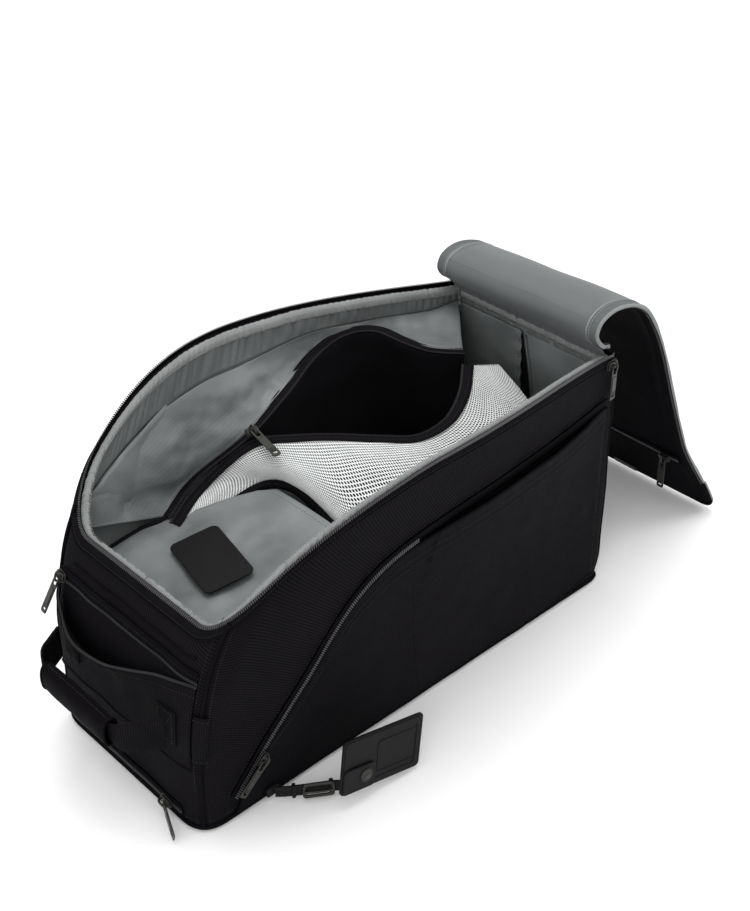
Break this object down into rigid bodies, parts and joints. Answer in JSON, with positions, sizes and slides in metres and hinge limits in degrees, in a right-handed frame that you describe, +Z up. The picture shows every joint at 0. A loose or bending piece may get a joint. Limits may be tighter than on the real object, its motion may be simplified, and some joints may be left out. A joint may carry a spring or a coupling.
{
  "type": "golf shoe bag",
  "caption": "Soft zipped duffel for golf shoes: long lid laid back over one end, open shoe pouch with mesh cover, outside pockets, end handle and luggage tag.",
  "frame": {"origin": "centre of the flat underside of the base, on the surface that the bag stands on", "axes": "+X along the bag from the handle end to the end that the lid hinges on, +Y away from the side with the large outside pocket, +Z up"},
  "size_m": [0.7952, 0.3379, 0.3549],
  "materials": {
    "twill": "black ballistic nylon twill",
    "pocket_cloth": "smooth black woven nylon",
    "webbing": "black ribbed nylon webbing",
    "satin": "grey satin lining",
    "facing": "light grey gathered lining",
    "mesh_cloth": "white open polyester mesh",
    "black_lining": "matte black lining and binding",
    "zip_tape": "black zip tape with coil teeth",
    "leather": "black smooth leather",
    "gunmetal": "dark gunmetal"
  },
  "bodies": {
    "bag": {"front_side_panel": "twill", "front_side_lining": "satin", "lid_end_panel": "twill", "lid_end_lining": "satin", "back_side_panel": "twill", "back_side_lining": "satin", "handle_end_panel": "twill", "handle_end_lining": "satin", "base_panel": "twill", "floor_lining": "black_lining", "rim_facing": "facing", "main_zip_tape": "zip_tape", "front_pocket_panel": "pocket_cloth", "front_pocket_zip_tape": "zip_tape", "end_pocket_panel": "twill", "end_pocket_zip_tape": "zip_tape", "bottom_zip_tape": "zip_tape", "handle_patch_front": "webbing", "handle_patch_back": "webbing", "seam_tab": "webbing", "pouch_satin_cover": "satin", "pouch_mesh_cover": "mesh_cloth", "pouch_zip_far": "zip_tape", "pouch_zip_near": "zip_tape", "pouch_liner": "black_lining", "accessory_back_panel": "satin", "accessory_binding": "black_lining", "accessory_front_panel": "satin", "leather_patch": "leather", "end_slip_pocket": "satin", "tag_anchor": "webbing"},
    "lid_1": {"lid_strip_1": "twill"},
    "lid_2": {"lid_strip_2": "twill"},
    "lid_3": {"lid_strip_3": "twill"},
    "lid_4": {"lid_strip_4": "twill"},
    "lid_5": {"lid_strip_5": "twill"},
    "lid_6": {"lid_strip_6": "twill"},
    "lid_7": {"lid_strip_7": "twill", "lid_pocket_zip_tape": "zip_tape", "lid_end_plate": "gunmetal"},
    "main_slider": {"main_slider": "gunmetal"},
    "main_pull": {"main_pull": "gunmetal"},
    "front_pocket_slider": {"front_pocket_slider": "gunmetal"},
    "front_pocket_pull": {"front_pocket_pull": "gunmetal"},
    "end_pocket_slider": {"end_pocket_slider": "gunmetal"},
    "end_pocket_pull": {"end_pocket_pull": "gunmetal"},
    "bottom_slider": {"bottom_slider": "gunmetal"},
    "bottom_pull": {"bottom_pull": "gunmetal"},
    "shoe_pouch_slider": {"shoe_pouch_slider": "gunmetal"},
    "shoe_pouch_pull": {"shoe_pouch_pull": "gunmetal"},
    "lid_pocket_slider": {"lid_pocket_slider": "gunmetal"},
    "lid_pocket_pull": {"lid_pocket_pull": "gunmetal"},
    "handle": {"handle_webbing": "webbing", "handle_grip": "webbing"},
    "tag_strap": {"tag_strap": "leather", "tag_buckle": "gunmetal"},
    "tag_prong": {"tag_prong": "gunmetal"},
    "tag": {"tag_body": "leather"},
    "tag_flap": {"tag_flap": "leather", "tag_snap": "gunmetal"}
  },
  "joints": [
    {"name": "lid_swing", "type": "hinge", "parent": "bag", "child": "lid_1", "pos_m": [0.268, 0, 0.295], "axis": [0, -1, 0], "range_deg": [0, 26]},
    {"name": "lid_curl_2", "type": "hinge", "parent": "lid_1", "child": "lid_2", "pos_m": [0.22189, 0, 0.3285], "axis": [0, -1, 0], "range_deg": [0, 98.1]},
    {"name": "lid_curl_3", "type": "hinge", "parent": "lid_2", "child": "lid_3", "pos_m": [0.24439, 0, 0.35264], "axis": [0, -1, 0], "range_deg": [0, 63.1]},
    {"name": "lid_curl_4", "type": "hinge", "parent": "lid_3", "child": "lid_4", "pos_m": [0.28593, 0, 0.34151], "axis": [0, -1, 0], "range_deg": [0, 37.6]},
    {"name": "lid_curl_5", "type": "hinge", "parent": "lid_4", "child": "lid_5", "pos_m": [0.33028, 0, 0.28865], "axis": [0, -1, 0], "range_deg": [0, 20.6]},
    {"name": "lid_curl_6", "type": "hinge", "parent": "lid_5", "child": "lid_6", "pos_m": [0.37502, 0, 0.18816], "axis": [0, -1, 0], "range_deg": [0, 13.1]},
    {"name": "lid_curl_7", "type": "hinge", "parent": "lid_6", "child": "lid_7", "pos_m": [0.41976, 0, 0.08767], "axis": [0, -1, 0], "range_deg": [0, 23.1]},
    {"name": "main_zip_slide", "type": "slide", "parent": "bag", "child": "main_slider", "axis": [-0.9726, -0.1723, 0.1564], "range_m": [0, 0.06]},
    {"name": "main_pull_swing", "type": "hinge", "parent": "main_slider", "child": "main_pull", "pos_m": [0.25261, -0.11807, 0.28146], "axis": [-0.995, -0.0994, 0], "range_deg": [0, 140]},
    {"name": "front_pocket_zip_slide", "type": "slide", "parent": "bag", "child": "front_pocket_slider", "axis": [0.6533, -0.0898, 0.7517], "range_m": [0, 0.09]},
    {"name": "front_pocket_pull_swing", "type": "hinge", "parent": "front_pocket_slider", "child": "front_pocket_pull", "pos_m": [-0.21425, -0.12409, 0.0595], "axis": [-0.7394, -0.0414, 0.672], "range_deg": [0, 140]},
    {"name": "end_pocket_zip_slide", "type": "slide", "parent": "bag", "child": "end_pocket_slider", "axis": [-0.0192, -0.9998, 0], "range_m": [0, 0.011]},
    {"name": "end_pocket_pull_swing", "type": "hinge", "parent": "end_pocket_slider", "child": "end_pocket_pull", "pos_m": [-0.27256, 0.0989, 0.17445], "axis": [0.1484, 0.9889, 0], "range_deg": [-10, 110]},
    {"name": "bottom_zip_slide", "type": "slide", "parent": "bag", "child": "bottom_slider", "axis": [0, 1, 0], "range_m": [0, 0.13]},
    {"name": "bottom_pull_swing", "type": "hinge", "parent": "bottom_slider", "child": "bottom_pull", "pos_m": [-0.2877, -0.06393, 0.014], "axis": [0, 0.2149, -0.9766], "range_deg": [-18, 110]},
    {"name": "shoe_pouch_zip_slide", "type": "slide", "parent": "bag", "child": "shoe_pouch_slider", "axis": [-0.8919, 0.063, -0.4478], "range_m": [0, 0.03]},
    {"name": "shoe_pouch_pull_swing", "type": "hinge", "parent": "shoe_pouch_slider", "child": "shoe_pouch_pull", "pos_m": [-0.041, 0.09283, 0.2356], "axis": [-1, 0, 0], "range_deg": [0, 110]},
    {"name": "lid_pocket_zip_slide", "type": "slide", "parent": "lid_7", "child": "lid_pocket_slider", "axis": [0, 1, 0], "range_m": [0, 0.155]},
    {"name": "lid_pocket_pull_swing", "type": "hinge", "parent": "lid_pocket_slider", "child": "lid_pocket_pull", "pos_m": [0.41534, -0.078, 0.07439], "axis": [0, 1, 0], "range_deg": [-20, 100]},
    {"name": "handle_swing", "type": "hinge", "parent": "bag", "child": "handle", "pos_m": [-0.2925, 0, 0.116], "axis": [0, 1, 0], "range_deg": [-30, 15]},
    {"name": "tag_strap_swing", "type": "hinge", "parent": "bag", "child": "tag_strap", "pos_m": [-0.203, -0.1205, 0.012], "axis": [0, 0, 1], "range_deg": [-60, 6]},
    {"name": "tag_prong_swing", "type": "hinge", "parent": "tag_strap", "child": "tag_prong", "pos_m": [-0.18437, -0.14218, 0.012], "axis": [0, 0, -1], "range_deg": [0, 100]},
    {"name": "tag_swing", "type": "hinge", "parent": "tag_strap", "child": "tag", "pos_m": [-0.155, -0.163, 0.04474], "axis": [0.147, 0.0491, 0.9879], "range_deg": [-20, 8]},
    {"name": "tag_flap_swing", "type": "hinge", "parent": "tag", "child": "tag_flap", "pos_m": [-0.16404, -0.17233, 0.03136], "axis": [-0.147, -0.0491, -0.9879], "range_deg": [0, 120]}
  ],
  "couplings": [
    {"joint": "lid_curl_2", "follows": "lid_swing", "ratio": 3.7692},
    {"joint": "lid_curl_3", "follows": "lid_swing", "ratio": 2.4231},
    {"joint": "lid_curl_4", "follows": "lid_swing", "ratio": 1.4423},
    {"joint": "lid_curl_5", "follows": "lid_swing", "ratio": 0.78846},
    {"joint": "lid_curl_6", "follows": "lid_swing", "ratio": 0.5},
    {"joint": "lid_curl_7", "follows": "lid_swing", "ratio": 0.88462}
  ]
}
